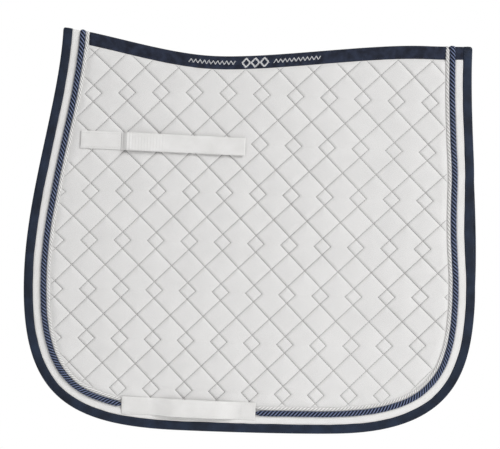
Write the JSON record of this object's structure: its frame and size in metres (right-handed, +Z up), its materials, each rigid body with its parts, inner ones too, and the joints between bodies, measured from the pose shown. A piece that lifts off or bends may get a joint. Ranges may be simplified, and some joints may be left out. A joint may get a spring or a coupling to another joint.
{
  "type": "saddle pad",
  "caption": "Quilted dressage saddle pad folded at its curved spine, with bound and corded edges, hook-and-loop billet straps and webbing girth loops.",
  "frame": {"origin": "middle of the straight line between the spine's two ends, in the plane between the two halves", "axes": "+X along the spine towards the horse's tail, +Y to the horse's right, +Z up"},
  "size_m": [0.6345, 0.0284, 0.558],
  "materials": {
    "panel_white": "zigzag-quilted white cotton twill, matte",
    "wadding": "soft polyester wadding",
    "lining_white": "plain white cotton lining, matte, quilted through",
    "binding_navy": "navy woven binding, slightly glossy",
    "tape_white": "flat white twill tape",
    "cord_navy": "navy twisted three-strand cord, satin",
    "cord_white": "thin white twisted cord, satin",
    "spine_navy": "navy woven tape with a plain woven pattern in white",
    "webbing_white": "white ribbed webbing",
    "hook_loop_white": "white hook-and-loop tape",
    "thread_white": "white polyester thread"
  },
  "bodies": {
    "spine": {"spine_seam_tape": "tape_white"},
    "left_flap": {"left_face_fabric": "panel_white", "left_wadding": "wadding", "left_lining": "lining_white", "left_edge_binding": "binding_navy", "left_border_tape": "tape_white", "left_front_navy_cord": "cord_navy", "left_rear_navy_cord": "cord_navy", "left_front_white_cord": "cord_white", "left_rear_white_cord": "cord_white", "left_spine_tape": "spine_navy", "left_loop_tape": "hook_loop_white", "left_billet_strap_end": "webbing_white", "left_billet_stitches": "thread_white", "left_girth_strap": "webbing_white", "left_girth_stitches": "thread_white"},
    "right_flap": {"right_face_fabric": "panel_white", "right_wadding": "wadding", "right_lining": "lining_white", "right_edge_binding": "binding_navy", "right_border_tape": "tape_white", "right_front_navy_cord": "cord_navy", "right_rear_navy_cord": "cord_navy", "right_front_white_cord": "cord_white", "right_rear_white_cord": "cord_white", "right_spine_tape": "spine_navy", "right_loop_tape": "hook_loop_white", "right_billet_strap_end": "webbing_white", "right_billet_stitches": "thread_white", "right_girth_strap": "webbing_white", "right_girth_stitches": "thread_white"},
    "left_billet_strap": {"left_billet_strap": "webbing_white", "left_hook_tape": "hook_loop_white"},
    "right_billet_strap": {"right_billet_strap": "webbing_white", "right_hook_tape": "hook_loop_white"}
  },
  "joints": [
    {"name": "left_flap_fold", "type": "hinge", "parent": "spine", "child": "left_flap", "pos_m": [0, 0, 0.003], "axis": [-1, 0, 0], "range_deg": [0, 50]},
    {"name": "right_flap_fold", "type": "hinge", "parent": "spine", "child": "right_flap", "pos_m": [0, 0, 0.003], "axis": [1, 0, 0], "range_deg": [0, 50]},
    {"name": "left_billet_strap_open", "type": "hinge", "parent": "left_flap", "child": "left_billet_strap", "pos_m": [-0.198, -0.0096, -0.1555], "axis": [0, 0, -1], "range_deg": [0, 150]},
    {"name": "right_billet_strap_open", "type": "hinge", "parent": "right_flap", "child": "right_billet_strap", "pos_m": [-0.198, 0.0096, -0.1555], "axis": [0, 0, 1], "range_deg": [0, 150]}
  ]
}
